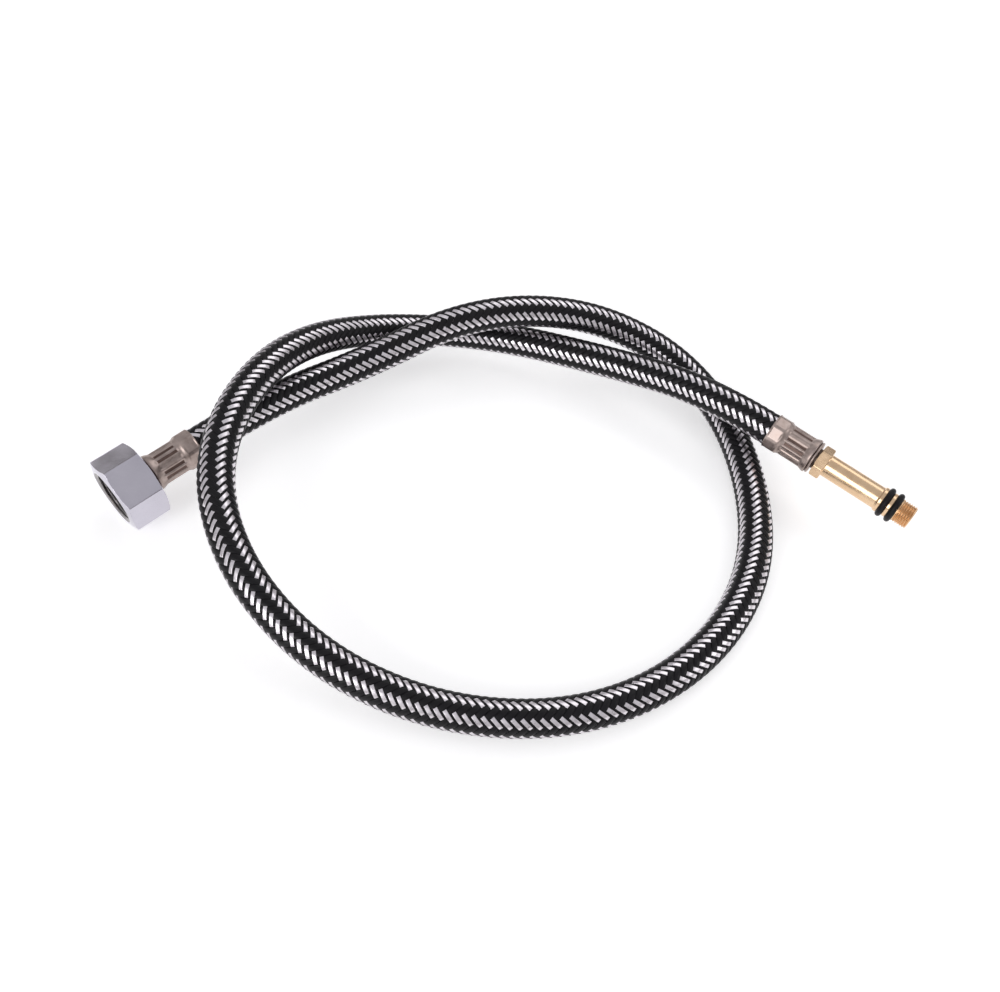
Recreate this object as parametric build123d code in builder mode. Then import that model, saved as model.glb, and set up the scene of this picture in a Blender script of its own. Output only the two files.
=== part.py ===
from build123d import *
from math import acos, degrees, pi, radians, sin, cos, tan
import os

os.makedirs("parts", exist_ok=True)

# Braided supply line, lying on a floor at z = 0 in a loose overhand loop.
# Units are millimetres. The two end fittings are centred over the origin.

# ---------------------------------------------------------------- hose
hose_d = 14.0            # over the braid
liner_d = 12.0           # rubber inner tube, outside
liner_bore = 8.0         # rubber inner tube, inside
shift_x, shift_y = -5.701, 2.893

# Route of the hose, from the mouth of the nut-end ferrule to the mouth of
# the tap-end ferrule. The first and the last run are straight with the
# fittings, so both ferrules sit square on the hose.
route_raw = [
    (-120.97, -11.70, 18.67),
    (-98.51, 14.95, 21.83),
    (-65.44, 45.85, 19.02),
    (-24.98, 71.42, 32.87),
    (20.48, 87.32, 29.64),
    (62.40, 87.20, 16.20),
    (91.20, 62.60, 8.20),
    (104.30, 21.10, 7.20),
    (104.60, -21.10, 7.10),
    (89.70, -57.50, 7.10),
    (62.40, -86.40, 7.60),
    (26.00, -102.80, 8.20),
    (-16.30, -104.20, 8.30),
    (-57.00, -93.00, 14.60),
    (-89.08, -68.99, 25.58),
    (-106.78, -34.16, 34.26),
    (-104.36, 3.25, 39.54),
    (-90.25, 41.29, 32.82),
    (-58.58, 73.30, 16.69),
    (-10.90, 82.00, 13.00),
    (39.70, 69.50, 18.20),
    (82.40, 52.00, 25.90),
    (108.22, 36.09, 24.21),
]
route = [Vector(x + shift_x, y + shift_y, z) for x, y, z in route_raw]

# ---------------------------------------------------------------- ferrules
fer_len = 21.3           # crimp sleeve, mouth to lip
fer_wall = 0.5
fer_mouth_d = 15.2       # over the hose-end zone
fer_neck_d = 13.6        # over the crimped zone
fer_lip_d = 15.0         # over the flared lip
fer_mouth_len = 5.3
fer_end_hole_d = 9.0     # the stem's neck passes here
flutes = 12              # long crimp marks round the neck
flute_depth = 0.2

# ---------------------------------------------------------------- stems
stem_d = 8.0             # barbed part, inside the liner
stem_bore = 6.0
stem_start = 2.5         # from the ferrule's mouth
barbs = 5
barb_pitch = 3.2
barb_depth = 0.35
hose_end = 19.8          # the hose ends here, inside the ferrule

# ---------------------------------------------------------------- coupling nut, G 1/2
nut_af = 27.0
nut_len = 15.6
nut_wall = 2.6           # back wall
nut_hole_d = 12.2        # runs on the tailpiece neck
thread_minor_d = 18.63
thread_major_d = 20.955
thread_pitch = 1.814
lip_gap = 0.1
nut_face_deg = 54.5      # elevation of the flat that looks forward and up
nut_float = 0.8          # axial play on the tailpiece
neck_d = 12.0
flange_d = 18.0
flange_t = 2.0
relief_d = 20.4          # turned relief behind the thread
washer_od = 18.4         # passes through the thread
washer_id = 11.0
washer_t = 1.8

# ---------------------------------------------------------------- M10 x 1 connector
con_hex_af = 12.0
con_hex_start, con_hex_end = 22.25, 26.45
con_body_d = 9.6
con_body_end = 50.45
con_rim_d = 10.9
con_groove_d = 8.0
con_groove_w = 2.6
con_land_w = 1.4
con_rim_w = 1.8
con_thread_d = 10.0
con_thread_minor = 8.9
con_thread_pitch = 1.0
con_end = 65.2
ring_section = 2.45
ring_id = 8.04

# ---------------------------------------------------------------- axes of the two ends
nut_dir = (route[0] - route[1]).normalized()          # out of the hose, towards the nut's mouth
tap_dir = (route[-1] - route[-2]).normalized()        # out of the hose, towards the thread tip
up = Vector(0, 0, 1)
nut_side = nut_dir.cross(up).normalized()
tap_side = tap_dir.cross(up).normalized()
nut_up = nut_side.cross(nut_dir).normalized()
tap_up = tap_side.cross(tap_dir).normalized()

# profile planes: x along the fitting's axis from the ferrule's mouth, y radial
nut_profile = Plane(origin=route[0], x_dir=nut_dir, z_dir=nut_side)
tap_profile = Plane(origin=route[-1], x_dir=tap_dir, z_dir=tap_side)
nut_axis = Axis(route[0], nut_dir)
tap_axis = Axis(route[-1], tap_dir)

ferrule_outline = [
    (0.0, hose_d / 2),
    (0.0, fer_mouth_d / 2 - 0.25),
    (0.25, fer_mouth_d / 2),
    (fer_mouth_len, fer_mouth_d / 2),
    (fer_mouth_len + 2.2, fer_neck_d / 2),
    (fer_len - 4.4, fer_neck_d / 2),
    (fer_len - 2.0, fer_lip_d / 2 - 0.1),
    (fer_len - 1.2, fer_lip_d / 2),
    (fer_len - 0.2, fer_lip_d / 2),
    (fer_len, fer_lip_d / 2 - 0.2),
    (fer_len, fer_end_hole_d / 2),
    (fer_len - 0.8, fer_end_hole_d / 2),
    (fer_len - 0.8, fer_lip_d / 2 - fer_wall - 0.2),
    (fer_len - 2.0, fer_lip_d / 2 - fer_wall - 0.1),
    (fer_len - 4.4, fer_neck_d / 2 - fer_wall),
    (fer_mouth_len + 2.2, fer_neck_d / 2 - fer_wall),
    (fer_mouth_len + 0.9, hose_d / 2),
]
neck_mid = (fer_mouth_len + 2.6 + fer_len - 4.8) / 2
neck_run = fer_len - 4.8 - (fer_mouth_len + 2.6)

# ---------------------------------------------------------------- 1 nut-end ferrule
with BuildPart() as nut_end_ferrule:
    with BuildSketch(nut_profile):
        with BuildLine():
            Polyline(*ferrule_outline, close=True)
        make_face()
    revolve(axis=nut_axis)
    with BuildSketch(Plane(origin=route[0] + nut_dir * (neck_mid - neck_run / 2), x_dir=nut_side, z_dir=nut_dir)):
        with PolarLocations(fer_neck_d / 2 + 1.2 - flute_depth, flutes):
            Circle(1.2)
    extrude(amount=neck_run, mode=Mode.SUBTRACT)
nut_end_ferrule.part.label = "nut_end_ferrule"

# ---------------------------------------------------------------- 2 tap-end ferrule
with BuildPart() as tap_end_ferrule:
    with BuildSketch(tap_profile):
        with BuildLine():
            Polyline(*ferrule_outline, close=True)
        make_face()
    revolve(axis=tap_axis)
    with BuildSketch(Plane(origin=route[-1] + tap_dir * (neck_mid - neck_run / 2), x_dir=tap_side, z_dir=tap_dir)):
        with PolarLocations(fer_neck_d / 2 + 1.2 - flute_depth, flutes):
            Circle(1.2)
    extrude(amount=neck_run, mode=Mode.SUBTRACT)
tap_end_ferrule.part.label = "tap_end_ferrule"

# ---------------------------------------------------------------- hose path
corner_r = []
for i in range(1, len(route) - 1):
    a = route[i] - route[i - 1]
    b = route[i + 1] - route[i]
    turn = acos(max(-1.0, min(1.0, a.dot(b) / (a.length * b.length))))
    corner_r.append(0.45 * min(a.length, b.length) / tan(turn / 2))
print("corner radii, mm:", [round(r, 1) for r in corner_r])

with BuildLine() as hose_path:
    FilletPolyline(*route, radius=corner_r)
hose_length = sum(e.length for e in hose_path.line.edges())
print("hose between ferrule mouths, mm:", round(hose_length, 1))

start_plane = Plane(origin=route[0], x_dir=nut_side, z_dir=-nut_dir)
nut_end_plane = Plane(origin=route[0], x_dir=nut_side, z_dir=nut_dir)
tap_end_plane = Plane(origin=route[-1], x_dir=tap_side, z_dir=tap_dir)

# ---------------------------------------------------------------- 3 rubber liner
with BuildPart() as hose_liner:
    with BuildSketch(start_plane):
        Circle(liner_d / 2)
        Circle(liner_bore / 2, mode=Mode.SUBTRACT)
    sweep(path=hose_path.wires()[0])
    with BuildSketch(nut_end_plane):
        Circle(liner_d / 2)
        Circle(liner_bore / 2, mode=Mode.SUBTRACT)
    extrude(amount=hose_end)
    with BuildSketch(tap_end_plane):
        Circle(liner_d / 2)
        Circle(liner_bore / 2, mode=Mode.SUBTRACT)
    extrude(amount=hose_end)
hose_liner.part.label = "hose_liner"

# ---------------------------------------------------------------- 4 braid
with BuildPart() as hose_braid:
    with BuildSketch(start_plane):
        Circle(hose_d / 2)
        Circle(liner_d / 2, mode=Mode.SUBTRACT)
    sweep(path=hose_path.wires()[0])
    with BuildSketch(nut_end_plane):
        Circle(hose_d / 2)
        Circle(liner_d / 2, mode=Mode.SUBTRACT)
    extrude(amount=fer_mouth_len + 0.5)
    with BuildSketch(tap_end_plane):
        Circle(hose_d / 2)
        Circle(liner_d / 2, mode=Mode.SUBTRACT)
    extrude(amount=fer_mouth_len + 0.5)
    with BuildSketch(nut_end_plane.offset(fer_mouth_len + 0.5)):
        Circle(fer_neck_d / 2 - fer_wall)
        Circle(liner_d / 2, mode=Mode.SUBTRACT)
    extrude(amount=hose_end - fer_mouth_len - 0.5)
    with BuildSketch(tap_end_plane.offset(fer_mouth_len + 0.5)):
        Circle(fer_neck_d / 2 - fer_wall)
        Circle(liner_d / 2, mode=Mode.SUBTRACT)
    extrude(amount=hose_end - fer_mouth_len - 0.5)
hose_braid.part.label = "hose_braid"
for tube, outer, inner in ((hose_liner, liner_d, liner_bore), (hose_braid, hose_d, liner_d)):
    ring = pi / 4 * (outer ** 2 - inner ** 2)
    print(tube.part.label, "volume", round(tube.part.volume), "section x length",
          round(ring * (hose_length + 2 * hose_end)))

# ---------------------------------------------------------------- 5 tailpiece
nut_back = fer_len + lip_gap
flange_back = nut_back + nut_wall + nut_float + 0.1
flange_front = flange_back + flange_t
barb_line = []
for i in range(barbs):
    x = stem_start + i * barb_pitch
    barb_line += [(x, stem_d / 2 - barb_depth), (x + barb_pitch - 0.6, stem_d / 2), (x + barb_pitch - 0.1, stem_d / 2)]
tail_outline = (
    [(stem_start, stem_bore / 2)]
    + barb_line
    + [
        (fer_len - 0.8, stem_d / 2),
        (fer_len - 0.8, fer_end_hole_d / 2),
        (fer_len, fer_end_hole_d / 2),
        (fer_len, neck_d / 2),
        (flange_back, neck_d / 2),
        (flange_back, flange_d / 2),
        (flange_front, flange_d / 2),
        (flange_front, stem_bore / 2 + 0.6),
        (flange_front - 0.6, stem_bore / 2),
    ]
)
with BuildPart() as nut_tailpiece:
    with BuildSketch(nut_profile):
        with BuildLine():
            Polyline(*tail_outline, close=True)
        make_face()
    revolve(axis=nut_axis)
nut_tailpiece.part.label = "nut_tailpiece"

# ---------------------------------------------------------------- 6 sealing washer
washer_back = flange_front + 0.1
with BuildPart() as sealing_washer:
    with BuildSketch(nut_end_plane.offset(washer_back)):
        Circle(washer_od / 2)
        Circle(washer_id / 2, mode=Mode.SUBTRACT)
    extrude(amount=washer_t)
    chamfer(sealing_washer.edges().filter_by(GeomType.CIRCLE).sort_by(SortBy.RADIUS)[-2:], 0.2)
sealing_washer.part.label = "sealing_washer"

# ---------------------------------------------------------------- 7 coupling nut
# the hexagon's flat normals: one of them looks forward and up at nut_face_deg
hex_dir = nut_side * cos(radians(nut_face_deg)) + nut_up * sin(radians(nut_face_deg))
if (nut_side.Y > 0):
    hex_dir = nut_side * -cos(radians(nut_face_deg)) + nut_up * sin(radians(nut_face_deg))
nut_hex_plane = Plane(origin=route[0] + nut_dir * nut_back, x_dir=hex_dir, z_dir=nut_dir)
nut_r = nut_af / 2
nut_c = nut_af / 2 / cos(pi / 6)
mouth = nut_back + nut_len
cavity = nut_back + nut_wall
relief_end = cavity + 4.9
thread_x = relief_end + 0.3
thread_turns = 3
nut_hollow = [
    (nut_back - 1, 0),
    (nut_back - 1, nut_hole_d / 2),
    (cavity, nut_hole_d / 2),
    (cavity, relief_d / 2),
    (relief_end, relief_d / 2),
    (relief_end, thread_minor_d / 2),
]
for i in range(thread_turns):
    x = thread_x + i * thread_pitch
    nut_hollow += [
        (x, thread_minor_d / 2),
        (x + 0.5, thread_major_d / 2),
        (x + 0.75, thread_major_d / 2),
        (x + 1.25, thread_minor_d / 2),
    ]
nut_hollow += [
    (mouth - 0.7, thread_minor_d / 2),
    (mouth, thread_minor_d / 2 + 1.0),
    (mouth + 1, thread_minor_d / 2 + 1.0),
    (mouth + 1, 0),
]
with BuildPart() as coupling_nut:
    with BuildSketch(nut_hex_plane):
        RegularPolygon(radius=nut_r, side_count=6, major_radius=False, rotation=30)
    extrude(amount=nut_len)
    with BuildSketch(nut_profile):
        with BuildLine():
            Polyline(*nut_hollow, close=True)
        make_face()
    revolve(axis=nut_axis, mode=Mode.SUBTRACT)
    with BuildSketch(nut_profile):
        with BuildLine():
            Polyline((mouth + 0.1, nut_r - 1.8), (mouth + 0.1, nut_c + 1), (mouth - 2.07, nut_c + 1),
                     (mouth - 1.64, nut_c), (mouth, nut_r - 1.8), close=True)
        make_face()
    revolve(axis=nut_axis, mode=Mode.SUBTRACT)
    with BuildSketch(nut_profile):
        with BuildLine():
            Polyline((nut_back - 0.1, nut_r + 0.2), (nut_back - 0.1, nut_c + 1), (nut_back + 0.75, nut_c + 1),
                     (nut_back + 0.55, nut_c), (nut_back, nut_r + 0.2), close=True)
        make_face()
    revolve(axis=nut_axis, mode=Mode.SUBTRACT)
coupling_nut.part.label = "coupling_nut"

# ---------------------------------------------------------------- 8 M10 connector
g1 = con_body_end + con_rim_w
g2 = g1 + con_groove_w + con_land_w
th = g2 + con_groove_w
con_outline = (
    [(stem_start, stem_bore / 2)]
    + barb_line
    + [
        (fer_len - 0.8, stem_d / 2),
        (fer_len - 0.8, fer_end_hole_d / 2),
        (con_hex_start, fer_end_hole_d / 2),
        (con_hex_start, con_body_d / 2),
        (con_body_end, con_body_d / 2),
        (con_body_end + 0.5, con_rim_d / 2),
        (g1, con_rim_d / 2),
        (g1, con_groove_d / 2),
        (g1 + con_groove_w, con_groove_d / 2),
        (g1 + con_groove_w, con_rim_d / 2 - 0.2),
        (g2, con_rim_d / 2 - 0.2),
        (g2, con_groove_d / 2),
        (th, con_groove_d / 2),
        (th, con_thread_d / 2),
        (th + 0.5, con_thread_d / 2),
    ]
)
con_turns = 5
for i in range(con_turns):
    x = th + 0.5 + i * con_thread_pitch
    con_outline += [
        (x + 0.3, con_thread_minor / 2),
        (x + 0.4, con_thread_minor / 2),
        (x + 0.7, con_thread_d / 2),
        (x + 1.0, con_thread_d / 2),
    ]
con_outline += [
    (con_end - 0.6, con_thread_d / 2),
    (con_end, con_thread_minor / 2),
    (con_end, stem_bore / 2 + 0.4),
    (con_end - 0.4, stem_bore / 2),
]
with BuildPart() as m10_connector:
    with BuildSketch(tap_profile):
        with BuildLine():
            Polyline(*con_outline, close=True)
        make_face()
    revolve(axis=tap_axis)
    with BuildSketch(tap_end_plane.offset(con_hex_start)):
        RegularPolygon(radius=con_hex_af / 2, side_count=6, major_radius=False, rotation=12)
        Circle(con_body_d / 2 - 0.4, mode=Mode.SUBTRACT)
    extrude(amount=con_hex_end - con_hex_start)
m10_connector.part.label = "m10_connector"

# ---------------------------------------------------------------- 9, 10 O-rings
ring_r = ring_id / 2 + ring_section / 2
with BuildPart() as o_ring_inner:
    with BuildSketch(tap_profile):
        with Locations((g1 + con_groove_w / 2, ring_r)):
            Circle(ring_section / 2)
    revolve(axis=tap_axis)
o_ring_inner.part.label = "o_ring_inner"

with BuildPart() as o_ring_outer:
    with BuildSketch(tap_profile):
        with Locations((g2 + con_groove_w / 2, ring_r)):
            Circle(ring_section / 2)
    revolve(axis=tap_axis)
o_ring_outer.part.label = "o_ring_outer"

# ---------------------------------------------------------------- export
pieces = [
    coupling_nut, sealing_washer, nut_tailpiece, nut_end_ferrule, hose_liner,
    hose_braid, tap_end_ferrule, m10_connector, o_ring_inner, o_ring_outer,
]
fit_lo = Vector(1e9, 1e9, 1e9)
fit_hi = Vector(-1e9, -1e9, -1e9)
for p in pieces:
    bb = p.part.bounding_box()
    print(p.part.label, "solids", len(p.part.solids()), "volume", round(p.part.volume, 1),
          "box", [round(v, 2) for v in (*bb.min, *bb.max)])
    if p not in (hose_liner, hose_braid):
        fit_lo = Vector(*(min(u, v) for u, v in zip(fit_lo, bb.min)))
        fit_hi = Vector(*(max(u, v) for u, v in zip(fit_hi, bb.max)))
print("fittings centre", [round(v, 3) for v in (fit_lo + fit_hi) * 0.5], "lowest", round(fit_lo.Z, 3))
print("nut axis", [round(v, 5) for v in nut_dir], "tap axis", [round(v, 5) for v in tap_dir])
print("nut mouth", [round(v, 3) for v in route[0] + nut_dir * mouth])
print("thread tip", [round(v, 3) for v in route[-1] + tap_dir * con_end])
print("u values", round(nut_back, 2), round(cavity, 2), round(flange_front, 2), round(washer_back + washer_t, 2),
      round(mouth, 2), round(g1, 2), round(g2, 2), round(th, 2))

export_step(coupling_nut.part, "parts/coupling_nut.step")
export_step(sealing_washer.part, "parts/sealing_washer.step")
export_step(nut_tailpiece.part, "parts/nut_tailpiece.step")
export_step(nut_end_ferrule.part, "parts/nut_end_ferrule.step")
export_step(hose_liner.part, "parts/hose_liner.step")
export_step(hose_braid.part, "parts/hose_braid.step")
export_step(tap_end_ferrule.part, "parts/tap_end_ferrule.step")
export_step(m10_connector.part, "parts/m10_connector.step")
export_step(o_ring_inner.part, "parts/o_ring_inner.step")
export_step(o_ring_outer.part, "parts/o_ring_outer.step")
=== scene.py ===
import bpy
import math
import numpy as np
from mathutils import Vector, Matrix


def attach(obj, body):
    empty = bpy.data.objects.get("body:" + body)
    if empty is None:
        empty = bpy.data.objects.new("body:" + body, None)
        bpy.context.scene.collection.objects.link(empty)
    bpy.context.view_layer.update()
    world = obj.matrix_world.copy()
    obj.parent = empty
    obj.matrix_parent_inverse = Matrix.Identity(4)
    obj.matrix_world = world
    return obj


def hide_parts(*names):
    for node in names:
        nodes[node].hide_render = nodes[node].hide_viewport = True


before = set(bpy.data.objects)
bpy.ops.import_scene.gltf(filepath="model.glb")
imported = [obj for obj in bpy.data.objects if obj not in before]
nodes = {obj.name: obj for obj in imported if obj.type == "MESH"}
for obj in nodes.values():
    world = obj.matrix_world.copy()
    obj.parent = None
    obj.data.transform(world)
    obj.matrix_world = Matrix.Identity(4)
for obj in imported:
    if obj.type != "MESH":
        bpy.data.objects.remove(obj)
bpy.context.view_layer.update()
scene = bpy.context.scene
coll = scene.collection
MM = 0.001

# ------------------------------------------------------------------ route of the hose, as in the CAD model
SHIFT = (-5.701, 2.893)
ROUTE_MM = [
    (-120.97, -11.70, 18.67),
    (-98.51, 14.95, 21.83),
    (-65.44, 45.85, 19.02),
    (-24.98, 71.42, 32.87),
    (20.48, 87.32, 29.64),
    (62.40, 87.20, 16.20),
    (91.20, 62.60, 8.20),
    (104.30, 21.10, 7.20),
    (104.60, -21.10, 7.10),
    (89.70, -57.50, 7.10),
    (62.40, -86.40, 7.60),
    (26.00, -102.80, 8.20),
    (-16.30, -104.20, 8.30),
    (-57.00, -93.00, 14.60),
    (-89.08, -68.99, 25.58),
    (-106.78, -34.16, 34.26),
    (-104.36, 3.25, 39.54),
    (-90.25, 41.29, 32.82),
    (-58.58, 73.30, 16.69),
    (-10.90, 82.00, 13.00),
    (39.70, 69.50, 18.20),
    (82.40, 52.00, 25.90),
    (108.22, 36.09, 24.21),
]
ROUTE = [Vector(((x + SHIFT[0]) * MM, (y + SHIFT[1]) * MM, z * MM)) for x, y, z in ROUTE_MM]

nut_dir = (ROUTE[0] - ROUTE[1]).normalized()
tap_dir = (ROUTE[-1] - ROUTE[-2]).normalized()
UP = Vector((0, 0, 1))


def side_and_up(d):
    s = d.cross(UP).normalized()
    return s, s.cross(d).normalized()


nut_side, nut_up = side_and_up(nut_dir)
tap_side, tap_up = side_and_up(tap_dir)

# ------------------------------------------------------------------ camera, at the photograph's viewpoint
F_PX, ELEV, ROLL, DIST = 1008.3, math.radians(51.33), math.radians(8.166), 0.41698
cam_data = bpy.data.cameras.new("camera")
cam = bpy.data.objects.new("camera", cam_data)
coll.objects.link(cam)
fwd = Vector((0, math.cos(ELEV), -math.sin(ELEV)))
right0 = Vector((1, 0, 0))
up0 = Vector((0, math.sin(ELEV), math.cos(ELEV)))
cam_x = right0 * math.cos(ROLL) + up0 * math.sin(ROLL)
cam_y = -right0 * math.sin(ROLL) + up0 * math.cos(ROLL)
loc = -fwd * DIST + Vector((SHIFT[0] * MM, SHIFT[1] * MM, 0))
rot = Matrix((cam_x, cam_y, -fwd)).transposed().to_4x4()
cam.matrix_world = Matrix.Translation(loc) @ rot
cam_data.sensor_fit = "HORIZONTAL"
cam_data.sensor_width = 36.0
cam_data.lens = F_PX * 36.0 / 1000.0
cam_data.clip_start = 0.01
cam_data.clip_end = 20.0
scene.camera = cam

# ------------------------------------------------------------------ centreline, read from the NURBS spline


def route_curve(name, points, bevel=0.0, resolution=48):
    cu = bpy.data.curves.new(name, "CURVE")
    cu.dimensions = "3D"
    sp = cu.splines.new("NURBS")
    sp.points.add(len(points) - 1)
    for p, co in zip(sp.points, points):
        p.co = (co.x, co.y, co.z, 1.0)
    sp.order_u = 3
    sp.use_endpoint_u = True
    sp.resolution_u = resolution
    cu.resolution_u = resolution
    cu.bevel_depth = bevel
    cu.bevel_resolution = 6
    ob = bpy.data.objects.new(name, cu)
    coll.objects.link(ob)
    return ob


probe = route_curve("route_probe", ROUTE, 0.0, 240)
bpy.context.view_layer.update()
line_mesh = bpy.data.meshes.new_from_object(probe)
line = np.array([v.co[:] for v in line_mesh.vertices], float)
if np.linalg.norm(line[0] - np.array(ROUTE[0])) > np.linalg.norm(line[-1] - np.array(ROUTE[0])):
    line = line[::-1]
bpy.data.meshes.remove(line_mesh)
old = probe.data
bpy.data.objects.remove(probe)
bpy.data.curves.remove(old)
arc = np.concatenate([[0], np.cumsum(np.linalg.norm(np.diff(line, axis=0), axis=1))])
HOSE_LEN = float(arc[-1])


def centreline(step, inside):
    """points at equal steps along the route, carried straight on into both ferrules"""
    n = int(round((HOSE_LEN + 2 * inside) / step)) + 1
    s = np.linspace(-inside, HOSE_LEN + inside, n)
    p = np.stack([np.interp(s, arc, line[:, k]) for k in range(3)], 1)
    a = np.array(nut_dir)
    b = np.array(tap_dir)
    lo, hi = s < 0, s > HOSE_LEN
    p[lo] = line[0] + a * (-s[lo])[:, None]
    p[hi] = line[-1] + b * (s[hi] - HOSE_LEN)[:, None]
    t = np.gradient(p, axis=0)
    t /= np.linalg.norm(t, axis=1)[:, None]
    return s, p, t


def transport(t, n0):
    """rotation-minimising normals along the unit tangents t"""
    n = np.zeros_like(t)
    n[0] = n0 - t[0] * np.dot(n0, t[0])
    n[0] /= np.linalg.norm(n[0])
    for i in range(1, len(t)):
        v = n[i - 1] - t[i] * np.dot(n[i - 1], t[i])
        n[i] = v / np.linalg.norm(v)
    return n, np.cross(t, n)


# ------------------------------------------------------------------ materials


def new_mat(name):
    m = bpy.data.materials.new(name)
    m.use_nodes = True
    nt = m.node_tree
    b = nt.nodes["Principled BSDF"]
    return m, nt, b


def node(nt, kind, **kw):
    n = nt.nodes.new(kind)
    for k, v in kw.items():
        setattr(n, k, v)
    return n


def noise(nt, scale, detail=3.0, rough=0.5, stretch=None, coord="Object"):
    tc = node(nt, "ShaderNodeTexCoord")
    out = tc.outputs[coord]
    if stretch is not None:
        mp = node(nt, "ShaderNodeMapping")
        mp.inputs["Scale"].default_value = stretch
        nt.links.new(out, mp.inputs["Vector"])
        out = mp.outputs["Vector"]
    n = node(nt, "ShaderNodeTexNoise")
    n.inputs["Scale"].default_value = scale
    n.inputs["Detail"].default_value = detail
    n.inputs["Roughness"].default_value = rough
    nt.links.new(out, n.inputs["Vector"])
    return n


def ramp(nt, src, stops):
    r = node(nt, "ShaderNodeValToRGB")
    e = r.color_ramp.elements
    while len(e) < len(stops):
        e.new(0.5)
    for el, (pos, col) in zip(e, stops):
        el.position = pos
        el.color = (*col, 1.0)
    nt.links.new(src, r.inputs["Fac"])
    return r


def span(nt, src, lo, hi, a=0.0, b=1.0):
    r = node(nt, "ShaderNodeMapRange")
    r.inputs["From Min"].default_value = a
    r.inputs["From Max"].default_value = b
    r.inputs["To Min"].default_value = lo
    r.inputs["To Max"].default_value = hi
    nt.links.new(src, r.inputs["Value"])
    return r


def bump(nt, height, strength, distance, normal=None):
    b = node(nt, "ShaderNodeBump")
    b.inputs["Strength"].default_value = strength
    b.inputs["Distance"].default_value = distance
    nt.links.new(height, b.inputs["Height"])
    if normal is not None:
        nt.links.new(normal, b.inputs["Normal"])
    return b


def metal(name, dark, light, rough, fine=1400.0, coarse=120.0, bump_mm=0.010, rings=None):
    """a metal with cloudy tone, uneven polish and fine marks; rings adds turning marks along UV x"""
    m, nt, b = new_mat(name)
    b.inputs["Metallic"].default_value = 1.0
    big = noise(nt, coarse, 4.0, 0.6)
    col = ramp(nt, big.outputs["Fac"], [(0.30, dark), (0.72, light)])
    nt.links.new(col.outputs["Color"], b.inputs["Base Color"])
    fin = noise(nt, fine, 3.0, 0.6)
    rr = span(nt, big.outputs["Fac"], rough[0], rough[1], 0.3, 0.7)
    nt.links.new(rr.outputs["Result"], b.inputs["Roughness"])
    bp = bump(nt, fin.outputs["Fac"], 0.35, bump_mm * MM)
    last = bp
    if rings:
        uv = node(nt, "ShaderNodeUVMap")
        uv.uv_map = "along"
        w = node(nt, "ShaderNodeTexWave")
        w.wave_type = "BANDS"
        w.bands_direction = "X"
        w.inputs["Scale"].default_value = rings
        w.inputs["Distortion"].default_value = 0.6
        w.inputs["Detail"].default_value = 2.0
        nt.links.new(uv.outputs["UV"], w.inputs["Vector"])
        last = bump(nt, w.outputs["Fac"], 0.30, 0.012 * MM, bp.outputs["Normal"])
    nt.links.new(last.outputs["Normal"], b.inputs["Normal"])
    return m


mat_nut = metal("chrome_plate", (0.56, 0.54, 0.61), (0.63, 0.61, 0.68), (0.13, 0.22), coarse=60.0, bump_mm=0.006)
# a near-black brass colour: painted shade for the gap between the ferrule rim and the connector collar
mat_shade = metal("neck_painted_shade", (0.075, 0.055, 0.045), (0.13, 0.10, 0.085), (0.42, 0.55), coarse=300.0)
mat_thread = metal("chrome_thread", (0.30, 0.285, 0.285), (0.40, 0.385, 0.385), (0.22, 0.34), coarse=200.0)
mat_steel = metal("stainless_crimp", (0.30, 0.235, 0.21), (0.53, 0.44, 0.405), (0.29, 0.44), coarse=260.0, bump_mm=0.014)
# a dark steel colour used as painted shade in the crimp's groove bottoms and rim crease
mat_crease_shade = metal("crimp_crease_painted_shade", (0.10, 0.065, 0.055), (0.17, 0.12, 0.105), (0.34, 0.50), coarse=300.0)
mat_brass = metal("brass_turned", (0.72, 0.50, 0.31), (0.84, 0.62, 0.41), (0.20, 0.32), coarse=150.0, bump_mm=0.010, rings=40.0)
mat_brass_thread = metal("brass_thread", (0.70, 0.44, 0.24), (0.82, 0.56, 0.34), (0.26, 0.38), coarse=220.0)
mat_brass_in = metal("brass_plain", (0.62, 0.43, 0.24), (0.74, 0.55, 0.33), (0.28, 0.40), coarse=200.0)
mat_wire = metal("bright_wire", (0.68, 0.645, 0.68), (0.86, 0.82, 0.86), (0.24, 0.38), fine=2600.0, coarse=420.0, bump_mm=0.012)


def nylon(name, base, sheen):
    m, nt, b = new_mat(name)
    big = noise(nt, 380.0, 4.0, 0.6)
    col = ramp(nt, big.outputs["Fac"], [(0.3, base), (0.75, tuple(c * 1.9 for c in base))])
    nt.links.new(col.outputs["Color"], b.inputs["Base Color"])
    rr = span(nt, big.outputs["Fac"], 0.34, 0.50, 0.3, 0.7)
    nt.links.new(rr.outputs["Result"], b.inputs["Roughness"])
    b.inputs["Specular IOR Level"].default_value = 0.22
    b.inputs["Sheen Weight"].default_value = sheen
    fin = noise(nt, 3000.0, 3.0, 0.6)
    bp = bump(nt, fin.outputs["Fac"], 0.5, 0.02 * MM)
    nt.links.new(bp.outputs["Normal"], b.inputs["Normal"])
    return m


mat_black = nylon("black_nylon", (0.0042, 0.0037, 0.0048), 0.0)
mat_core = nylon("hose_core_dark", (0.004, 0.004, 0.005), 0.0)


def rubber(name, base, rough):
    m, nt, b = new_mat(name)
    big = noise(nt, 500.0, 5.0, 0.65)
    col = ramp(nt, big.outputs["Fac"], [(0.35, base), (0.8, tuple(min(1, c * 2.2 + 0.004) for c in base))])
    nt.links.new(col.outputs["Color"], b.inputs["Base Color"])
    rr = span(nt, big.outputs["Fac"], rough[0], rough[1], 0.3, 0.7)
    nt.links.new(rr.outputs["Result"], b.inputs["Roughness"])
    fin = noise(nt, 2200.0, 2.0, 0.5)
    bp = bump(nt, fin.outputs["Fac"], 0.4, 0.015 * MM)
    nt.links.new(bp.outputs["Normal"], b.inputs["Normal"])
    return m


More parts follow.
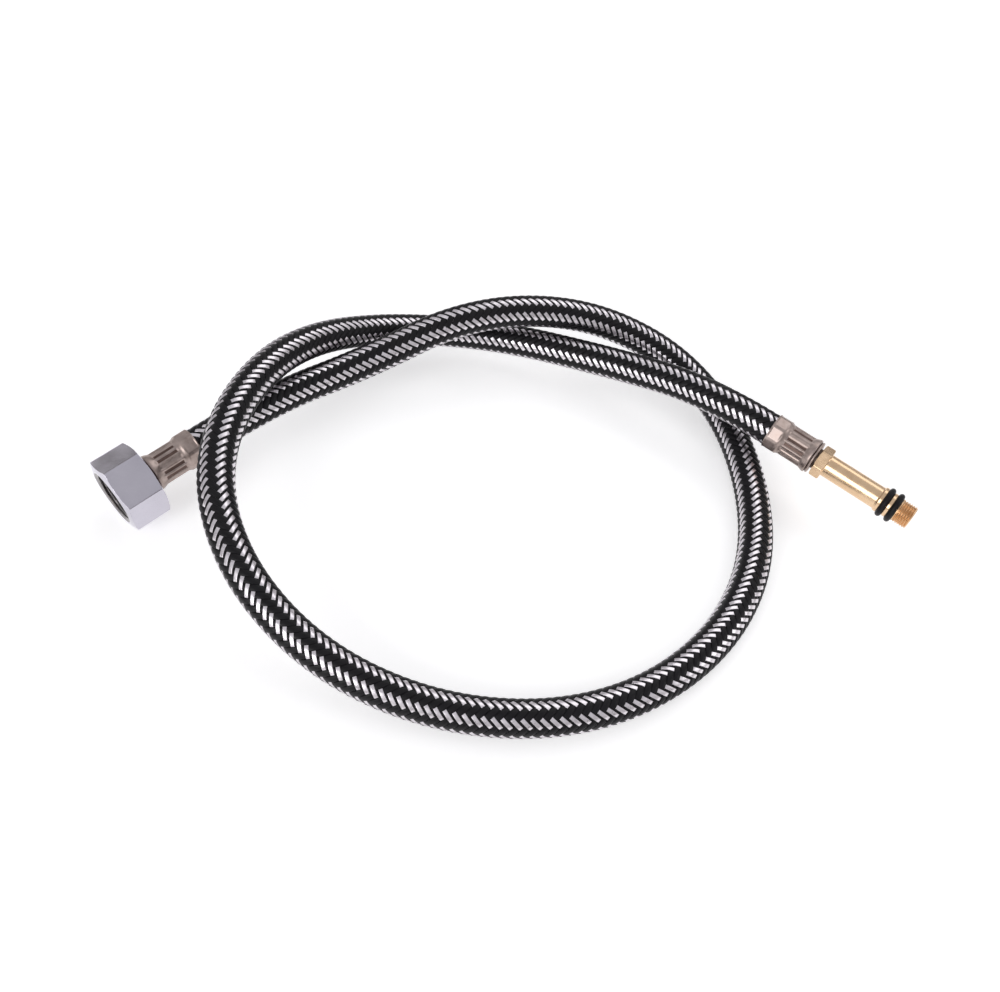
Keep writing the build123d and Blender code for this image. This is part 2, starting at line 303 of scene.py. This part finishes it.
mat_ring = rubber("ring_rubber_black", (0.003, 0.0025, 0.003), (0.38, 0.52))
mat_ring.node_tree.nodes["Principled BSDF"].inputs["Specular IOR Level"].default_value = 0.22
mat_washer = rubber("washer_rubber_black", (0.018, 0.018, 0.018), (0.50, 0.68))
mat_liner = rubber("liner_rubber_black", (0.014, 0.014, 0.014), (0.55, 0.70))

# ------------------------------------------------------------------ mesh helpers


def make_mesh(name, verts, faces, mats, face_mat=None, uv=None, sharp_deg=None):
    me = bpy.data.meshes.new(name)
    me.from_pydata([tuple(v) for v in verts], [], faces)
    me.validate()
    for m in mats:
        me.materials.append(m)
    if face_mat is not None:
        me.polygons.foreach_set("material_index", np.asarray(face_mat, np.int32))
    me.polygons.foreach_set("use_smooth", np.ones(len(me.polygons), bool))
    if uv is not None:
        layer = me.uv_layers.new(name="along")
        idx = np.zeros(len(me.loops), np.int32)
        me.loops.foreach_get("vertex_index", idx)
        layer.data.foreach_set("uv", np.asarray(uv, np.float32)[idx].ravel())
    if sharp_deg is not None:
        me.set_sharp_from_angle(angle=math.radians(sharp_deg))
    me.update()
    ob = bpy.data.objects.new(name, me)
    coll.objects.link(ob)
    return ob


def stack(name, origin, axis, xdir, rings, mats, sharp_deg=38.0, angles=None):
    """a closed skin from rings along an axis. rings is a list of (u, radius or function of the angle, material index);
    the last ring joins the first, so the rings run up the outside and back down the inside."""
    if angles is None:
        angles = np.linspace(0, 2 * math.pi, 96, endpoint=False)
    k = len(angles)
    a = np.array(axis)
    x = np.array(xdir)
    y = np.cross(a, x)
    o = np.array(origin)
    ca, sa = np.cos(angles), np.sin(angles)
    verts, uvs, mids = [], [], []
    for u, r, mi in rings:
        rr = r(angles) if callable(r) else np.full(k, float(r))
        verts.append(o + a * (u * MM) + (x[None] * (ca * rr)[:, None] + y[None] * (sa * rr)[:, None]) * MM)
        uvs.append(np.stack([np.full(k, u / 50.0), angles / (2 * math.pi)], 1))
        mids.append(mi)
    verts = np.concatenate(verts)
    uvs = np.concatenate(uvs)
    faces, fm = [], []
    n = len(rings)
    for i in range(n):
        j = (i + 1) % n
        for q in range(k):
            p = (q + 1) % k
            faces.append((i * k + q, i * k + p, j * k + p, j * k + q))
            fm.append(mids[i])
    return make_mesh(name, verts, faces, mats, fm, uvs, sharp_deg)


def eased(points, radius, steps=4):
    """profile points [(u, r, material)] with each corner rounded by about radius, in mm; a fourth value overrides it"""
    out = []
    n = len(points)
    for i in range(n):
        u0, r0 = points[i - 1][:2]
        u1, r1, mi = points[i][:3]
        u2, r2 = points[(i + 1) % n][:2]
        rad = points[i][3] if len(points[i]) > 3 else radius
        a = np.array([u0 - u1, r0 - r1])
        b = np.array([u2 - u1, r2 - r1])
        la, lb = np.linalg.norm(a), np.linalg.norm(b)
        if rad <= 0 or la < 1e-6 or lb < 1e-6:
            out.append((u1, r1, mi))
            continue
        a /= la
        b /= lb
        ang = math.acos(max(-1, min(1, float(np.dot(a, b)))))
        if ang > math.pi - 0.12:
            out.append((u1, r1, mi))
            continue
        t = min(rad / math.tan(ang / 2), 0.42 * la, 0.42 * lb)
        p0 = np.array([u1, r1]) + a * t
        p2 = np.array([u1, r1]) + b * t
        for s in np.linspace(0, 1, steps + 1):
            q = (1 - s) ** 2 * p0 + 2 * s * (1 - s) * np.array([u1, r1]) + s * s * p2
            out.append((float(q[0]), float(q[1]), mi))
    return out


# ------------------------------------------------------------------ braid
LEAD = 39.0 * MM
CARRIERS = 12
STEP = 0.65 * MM
INSIDE = 5.0 * MM
s_c, p_c, t_c = centreline(STEP, INSIDE)
n_c, b_c = transport(t_c, np.array(UP))
# the carriers drift a little round the hose along its length: mm along the hose, degrees round it
DRIFT = [
    (-5, -4), (45, -4), (58, -6), (70, -12.5), (82, -16), (94, -15.5), (106, -11.5), (118, -6), (130, -2.5), (154, -1.5), (178, 0.3),
    (190, 2.1), (240, 8), (298, 13.3), (322, 16.5), (346, 19.5), (370, 19.5), (394, 21.7), (418, 23.2), (454, 23.2), (490, 24.2), (514, 26.2),
    (538, 26.2), (562, 25.3), (586, 22.7), (598, 21.5), (610, 18.2), (634, 11.5), (646, 7.5), (658, 7.5), (670, 13), (682, 19.5), (694, 20.5),
    (706, 19), (760, 13.5), (826, 8), (838, 6), (850, 5.6), (862, 9), (874, 12.2), (886, 13.2), (898, 10.3), (910, 3.5), (935, 2),
]
PHASE = np.radians(np.interp(s_c / MM, [a for a, _ in DRIFT], [b for _, b in DRIFT]))
ease = np.hanning(27)
PHASE = np.convolve(np.pad(PHASE, 13, mode="edge"), ease / ease.sum(), mode="valid")


def braid_strand(index, hand, outline, r_mid, swing, jitter):
    """vertices of one strand: outline is a closed list of (across, out) in mm"""
    w = 2 * math.pi / LEAD
    theta = PHASE + 2 * math.pi * index / CARRIERS + hand * w * s_c + jitter[0]
    u = 2 * CARRIERS * s_c / LEAD
    if hand > 0:
        c = np.cos(2 * math.pi * (u + 2 * index - 0.5) / 4)
    else:
        c = np.cos(2 * math.pi * (u - 2 * index + 2.5) / 4)
    lift = np.tanh(1.7 * c) / math.tanh(1.7)
    r = (r_mid + swing * lift) * MM
    er = n_c * np.cos(theta)[:, None] + b_c * np.sin(theta)[:, None]
    p = p_c + er * r[:, None]
    t = np.gradient(p, axis=0)
    t /= np.linalg.norm(t, axis=1)[:, None]
    across = np.cross(er, t)
    across /= np.linalg.norm(across, axis=1)[:, None]
    out = np.cross(t, across)
    k = len(outline)
    o = np.array(outline) * MM
    # the strand hugs the hose: its edges lie a little lower than its middle
    sag = o[:, 0] ** 2 * 0.5 * (0.5 / (6.8 * MM))
    v = (
        p[:, None, :]
        + across[:, None, :] * o[None, :, 0, None]
        + out[:, None, :] * (o[None, :, 1, None] - sag[None, :, None])
    )
    return v.reshape(-1, 3), k


def braid_piece(name, indices, hand, outline, r_mid, swing, mat, rng):
    verts, faces, uvs = [], [], []
    base = 0
    n = len(s_c)
    for idx in indices:
        jit = (rng.uniform(-0.008, 0.008),)
        v, k = braid_strand(idx, hand, outline, r_mid, swing, jit)
        verts.append(v)
        along = np.repeat(s_c / MM / 50.0, k)
        ring = np.tile(np.arange(k) / k, n)
        uvs.append(np.stack([along, ring], 1))
        q = np.arange(n - 1)[:, None] * k
        e = np.arange(k)[None, :]
        e2 = (e + 1) % k
        f = np.stack([q + e, q + k + e, q + k + e2, q + e2], -1).reshape(-1, 4) + base
        faces.extend(map(tuple, f.tolist()))
        faces.append(tuple((base + np.arange(k)).tolist()))
        faces.append(tuple((base + (n - 1) * k + np.arange(k)[::-1]).tolist()))
        base += n * k
    return make_mesh(name, np.concatenate(verts), faces, [mat], None, np.concatenate(uvs))


def wire_outline(width, wires, top, valley, under):
    pts = []
    n = 2 * wires
    for i in range(n + 1):
        a = -width / 2 + width * i / n
        pts.append((a, top if i % 2 else valley))
    pts[0] = (-width / 2, valley - 0.05)
    pts[-1] = (width / 2, valley - 0.05)
    pts.append((width / 2 - 0.1, under))
    pts.append((-width / 2 + 0.1, under))
    return pts


def yarn_outline(width, ridges, height, ridge):
    pts = []
    n = 2 * ridges
    for i in range(n + 1):
        a = -width / 2 + width * i / n
        x = 2 * a / width
        b = height * math.sqrt(max(0.0, 1 - 0.93 * x * x)) - 0.10
        pts.append((a, b if i % 2 else b - ridge))
    pts.append((width * 0.33, -0.22))
    pts.append((-width * 0.33, -0.22))
    return pts


SILVER = wire_outline(1.50, 5, 0.13, 0.07, -0.12)
BLACK = yarn_outline(2.46, 6, 0.36, 0.035)

core = route_curve("hose_core", ROUTE, 6.12 * MM, 12)
core.data.materials.append(mat_core)
rng = np.random.default_rng(7)
strand_pieces = []
for g in range(3):
    idx = list(range(g, CARRIERS, 3))
    strand_pieces.append(braid_piece(f"braid_wire_{g + 1}", idx, +1, SILVER, 6.50, 0.20, mat_wire, rng))
    strand_pieces.append(braid_piece(f"braid_yarn_{g + 1}", idx, -1, BLACK, 6.52, 0.20, mat_black, rng))

# ------------------------------------------------------------------ ferrules
FER = 21.3


def smooth(x):
    x = min(1.0, max(0.0, x))
    return x * x * (3 - 2 * x)


def ferrule(name, origin, axis, side, turn):
    mouth, neck, lip = 7.6, 6.80, 7.5

    def base(u):
        if u < 5.2:
            return mouth
        if u < 7.3:
            return mouth + (neck - mouth) * smooth((u - 5.2) / 2.1)
        if u < 16.6:
            return neck
        if u < 19.6:
            return neck + (lip - neck) * smooth((u - 16.6) / 3.0)
        return lip

    def ring(u):
        def f(ang):
            # eight flats pressed round the hose end, sixteen long grooves between ridges round the neck
            q = (ang + turn) / (math.pi / 4)
            phi = ((q % 1.0) - 0.5) * math.pi / 4
            flat = np.minimum(mouth, 7.22 / np.cos(phi))
            a = smooth((u - 0.35) / 0.5) * (1 - smooth((u - 5.0) / 0.9))
            q2 = (ang + turn) / (math.pi / 8)
            f2 = np.abs((q2 % 1.0) - 0.5) * 2
            groove = 0.44 * (1 - np.clip((f2 - 0.40) / 0.50, 0, 1) ** 1.1)
            g = smooth((u - 7.1) / 1.0) * (1 - smooth((u - 16.3) / 1.6))
            r = base(u)
            return r + (flat - mouth) * a - groove * g

        return f

    angles = np.linspace(0, 2 * math.pi, 192, endpoint=False)
    rings = [(0.0, 7.05, 0), (0.0, 7.38, 0), (0.06, 7.50, 0), (0.18, 7.58, 0)]
    for u in np.arange(0.32, 19.75, 0.22):
        rings.append((float(u), ring(float(u)), 0))
    # the flare ends in a small step, and a thinner rolled rim stands past it
    rings += [(19.85, 7.47, 0), (19.97, 7.38, 0), (20.02, 7.20, 0), (20.02, 6.78, 0), (20.12, 6.62, 0), (20.3, 6.60, 0),
              (20.38, 6.84, 0), (20.50, 7.00, 0), (20.70, 7.10, 0), (20.95, 7.10, 0), (21.14, 7.02, 0), (21.26, 6.86, 0),
              (21.3, 6.66, 0), (21.3, 6.4, 0), (21.16, 6.1, 0), (21.1, 4.9, 0), (21.1, 4.52, 0), (20.5, 4.52, 0)]
    rings += [(20.5, 6.1, 0), (16.8, 6.1, 0), (7.4, 6.1, 0), (6.0, 6.6, 0), (3.0, 7.02, 0)]
    ob = stack(name, origin, axis, side, rings, [mat_steel, mat_crease_shade], 42.0, angles)
    # the bottoms of the long grooves (two in every three), and the crease behind the rolled rim, take a dark steel
    # colour: painted shade in the creases
    k = len(angles)
    index = np.zeros(len(ob.data.polygons), np.int32)
    ob.data.polygons.foreach_get("material_index", index)
    q2 = ((angles + math.pi / k + turn) / (math.pi / 8)) % 1.0
    # mask of groove bottoms that get the painted shade colour
    groove_shade_mask = np.abs(q2 - 0.5) * 2 < 0.50
    every_other = (np.floor((angles + math.pi / k + turn) / (math.pi / 8)) % 3) != 1
    for i, (u, _, _) in enumerate(rings):
        if 8.0 < u < 16.6 and i < len(rings) - 6:
            index[i * k:(i + 1) * k] = np.where(groove_shade_mask & every_other, 1, 0)
        elif 20.01 < u < 20.32 and i < len(rings) - 9:
            index[i * k:(i + 1) * k] = 1
    ob.data.polygons.foreach_set("material_index", index)
    return ob


nut_ferrule = ferrule("nut_ferrule_crimped", ROUTE[0], nut_dir, nut_side, 0.12)
tap_ferrule = ferrule("tap_ferrule_crimped", ROUTE[-1], tap_dir, tap_side, 0.30)

# ------------------------------------------------------------------ coupling nut
FACE_DEG = 54.5
hex_dir = nut_side * (-math.cos(math.radians(FACE_DEG)) if nut_side.y > 0 else math.cos(math.radians(FACE_DEG))) + nut_up * math.sin(math.radians(FACE_DEG))


def hex_radius(af, rho, first=30.0):
    """radius of a hexagon across flats af with corners rounded by rho; first is a corner's angle in degrees"""
    apothem = af / 2
    d = (apothem - rho) / math.cos(math.pi / 6)
    lim = math.atan2(rho * 0.5, d + rho * math.cos(math.pi / 6))

    def f(ang):
        a = (ang - math.radians(first) + math.pi / 6) % (math.pi / 3) - math.pi / 6
        flat = apothem / np.cos(math.pi / 6 - np.abs(a))
        s = np.clip(rho ** 2 - (d * np.sin(a)) ** 2, 0, None)
        arc_r = d * np.cos(a) + np.sqrt(s)
        return np.where(np.abs(a) < lim, arc_r, flat)

    return f


def hex_angles(first, offs=(0, 0.55, 1.1, 1.7, 3.5, 7, 12, 18, 24)):
    out = []
    for c in range(6):
        base = first + 60 * c
        for o in offs:
            out.append(base + o)
        for o in offs[1:]:
            out.append(base - o)
        out.append(base + 30)
    return np.radians(np.array(sorted(set(round(v % 360, 4) for v in out))))


NB, NC, NM = 21.4, 24.0, 37.0            # back face, cavity floor, mouth
hexa = hex_radius(27.0, 0.9)
THREAD_P, MINOR, MAJOR = 1.814, 18.63 / 2, 20.955 / 2


def nut_outer(u):
    front = 11.95 + (NM - u) * 3.3
    back = 13.60 + (u - NB) * 3.4
    lim = min(front, back)

    def f(ang):
        h = hexa(ang)
        m = np.minimum(h, lim)
        # a thin worn edge where the cone meets the flats
        return m - 0.05 * np.exp(-((h - lim) / 0.12) ** 2)

    return f


def nut_thread(u):
    def f(ang):
        ph = ((u - (NC + 4.9)) / THREAD_P - ang / (2 * math.pi)) % 1.0
        tri = 1 - np.abs(ph - 0.5) * 2
        prof = np.clip((tri - 0.14) / 0.72, 0, 1)
        prof = prof * prof * (3 - 2 * prof) * 0.35 + prof * 0.65
        fade = min(1.0, max(0.0, (u - (NC + 4.9)) / 0.5), max(0.0, (NM - 0.55 - u) / 0.5))
        lead_in = max(0.0, u - (NM - 0.95)) * 1.05
        return np.maximum(MINOR + (MAJOR - MINOR) * prof * max(0.0, fade), MINOR + lead_in)

    return f


rings = []
back_us = np.concatenate([np.linspace(0, 0.9, 10)[1:], [1.6]])
front_us = np.concatenate([[3.0, 2.2], np.linspace(1.7, 0.06, 20)])
rings.append((NB, 6.1, 0))
rings.append((NB, 6.6, 0))
rings.append((NB, 13.0, 0))
rings.append((NB + 0.02, nut_outer(NB + 0.02), 0))
for d in back_us:
    rings.append((NB + float(d), nut_outer(NB + float(d)), 0))
rings.append((NB + 8.0, nut_outer(NB + 8.0), 0))
for d in front_us:
    rings.append((NM - float(d), nut_outer(NM - float(d)), 0))
rings.append((NM, 11.93, 0))
rings.append((NM, 11.30, 0))
rings.append((NM - 0.05, 11.16, 1))
rings.append((NM - 0.50, 10.70, 1))
for u in np.arange(NM - 0.6, NC + 4.9 - 0.02, -THREAD_P / 14):
    rings.append((float(u), nut_thread(float(u)), 1))
rings += [(NC + 4.9, MINOR, 1), (NC + 4.9, 10.1, 1), (NC + 4.8, 10.2, 1), (NC + 0.2, 10.2, 1), (NC, 10.0, 1), (NC, 6.3, 1), (NC - 0.2, 6.1, 1)]
# wound the other way round, because these rings run from the back face up the outside
nut = stack("coupling_nut_body", ROUTE[0], nut_dir, hex_dir, rings, [mat_nut, mat_thread], 30.0, hex_angles(30.0))

# ------------------------------------------------------------------ M10 connector
c0, c1, g1, g2, th, tip = 22.25, 26.45, 52.25, 56.25, 58.85, 65.2
hex12 = hex_radius(12.0, 0.30, 12.0 + 30.0)


def collar(u):
    lim = min(6.35 + (u - c0) * 1.7, 6.35 + (c1 - u) * 1.7)
    return lambda ang: np.minimum(hex12(ang), lim)


def m10(u):
    def f(ang):
        ph = ((u - th) / 1.0 - ang / (2 * math.pi)) % 1.0
        tri = np.abs(ph - 0.5) * 2
        prof = np.clip((tri - 0.12) / 0.76, 0, 1)
        fade = min(1.0, max(0.0, (u - th - 0.2) / 0.5))
        end = max(0.0, u - (tip - 0.6)) * 0.9
        return np.minimum(5.0 - 0.55 * (1 - prof) * fade, 5.0 - end)

    return f


# the neck between the ferrule rim and the collar takes the painted shade colour (material 3)
rings = [(20.6, 4.48, 3), (c0 - 0.02, 4.48, 3), (c0, 4.9, 0)]
for d in (0.0, 0.1, 0.2, 0.32, 0.5, 1.0, 2.1, 3.2, 3.7, 3.88, 4.0, 4.1, 4.2):
    rings.append((c0 + d, collar(c0 + d), 0))
rings += [(c1, 5.15, 0), (c1 + 0.05, 4.98, 0), (c1 + 0.25, 4.82, 0)]
body = eased(
    [
        (c1 + 0.4, 4.82, 0, 0),
        (50.45, 4.82, 0, 0.6),
        (51.0, 5.45, 0, 0.2),
        (g1, 5.45, 0, 0.15),
        (g1, 4.0, 0, 0.2),
        (g1 + 2.6, 4.0, 0, 0.2),
        (g1 + 2.6, 5.25, 0, 0.15),
        (g2, 5.25, 0, 0.15),
        (g2, 4.0, 0, 0.2),
        (th, 4.0, 0, 0.2),
        (th, 4.98, 0, 0.12),
        (th + 0.14, 5.0, 0, 0),
    ],
    0.2,
)
rings += body
for u in np.arange(th + 0.2, tip - 0.02, 0.09):
    rings.append((float(u), m10(float(u)), 1))
rings += [(tip, 4.40, 1), (tip, 4.1, 1), (tip, 3.5, 1), (tip - 0.1, 3.2, 2), (tip - 0.4, 3.0, 2), (40.0, 3.0, 2), (20.6, 3.0, 2)]
con_angles = hex_angles(12.0 + 30.0, offs=(0, 0.9, 2.0, 5, 9, 14, 19, 24.5))
connector = stack("m10_connector_body", ROUTE[-1], tap_dir, tap_side, rings, [mat_brass, mat_brass_thread, mat_brass_in, mat_shade], 34.0, con_angles)

# ------------------------------------------------------------------ carried-over CAD nodes
for name, mat in (
    ("sealing_washer", mat_washer),
    ("nut_tailpiece", mat_brass_in),
    ("hose_liner", mat_liner),
    ("o_ring_inner", mat_ring),
    ("o_ring_outer", mat_ring),
):
    me = nodes[name].data
    me.materials.clear()
    me.materials.append(mat)

# ------------------------------------------------------------------ bodies
for piece in [core, nut_ferrule, tap_ferrule, connector] + strand_pieces:
    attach(piece, "line")
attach(nut, "nut")
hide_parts("hose_braid")
for piece in strand_pieces:
    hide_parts("hose_braid")
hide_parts("nut_end_ferrule")
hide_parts("tap_end_ferrule")
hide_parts("coupling_nut")
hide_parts("m10_connector")

# ------------------------------------------------------------------ floor and light
fm, fnt, fb = new_mat("floor_white")
fb.inputs["Base Color"].default_value = (0.90, 0.90, 0.90, 1)
fb.inputs["Roughness"].default_value = 0.9
fb.inputs["Specular IOR Level"].default_value = 0.05
fb.inputs["Emission Color"].default_value = (1.0, 1.0, 1.0, 1)
fb.inputs["Emission Strength"].default_value = 0.42
bpy.ops.mesh.primitive_plane_add(size=12.0, location=(0, 0, 0))
floor = bpy.context.active_object
floor.name = "floor"
floor.data.materials.append(fm)

world = bpy.data.worlds.new("studio")
scene.world = world
world.use_nodes = True
wnt = world.node_tree
wb = wnt.nodes["Background"]
wtc = wnt.nodes.new("ShaderNodeTexCoord")
wsep = wnt.nodes.new("ShaderNodeSeparateXYZ")
wnt.links.new(wtc.outputs["Generated"], wsep.inputs["Vector"])
# a soft tent: dark near the horizon, lighter overhead
wramp = wnt.nodes.new("ShaderNodeValToRGB")
we = wramp.color_ramp.elements
we[0].position = 0.02
we[0].color = (0.10, 0.085, 0.075, 1)
we[1].position = 0.21
we[1].color = (0.50, 0.49, 0.50, 1)
e3 = we.new(1.0)
e3.color = (0.62, 0.62, 0.64, 1)
wnt.links.new(wsep.outputs["Z"], wramp.inputs["Fac"])
wnt.links.new(wramp.outputs["Color"], wb.inputs["Color"])
wb.inputs["Strength"].default_value = 1.0


def area(name, size, power, loc, target=(0, 0, 0), color=(1, 1, 1)):
    d = bpy.data.lights.new(name, "AREA")
    d.shape = "RECTANGLE"
    d.size, d.size_y = size
    d.energy = power
    d.color = color
    o = bpy.data.objects.new(name, d)
    coll.objects.link(o)
    o.location = loc
    o.rotation_euler = (Vector(target) - Vector(loc)).to_track_quat("-Z", "Y").to_euler()
    return o


area("soft_left_front", (0.9, 1.2), 13.0, (-1.05, -1.50, 0.95))
area("soft_top_back", (1.5, 0.8), 4.5, (0.5, 1.2, 1.5))
area("soft_right", (0.5, 0.9), 3.0, (1.6, -0.2, 0.8))

scene.view_settings.view_transform = "Standard"
scene.view_settings.look = "None"
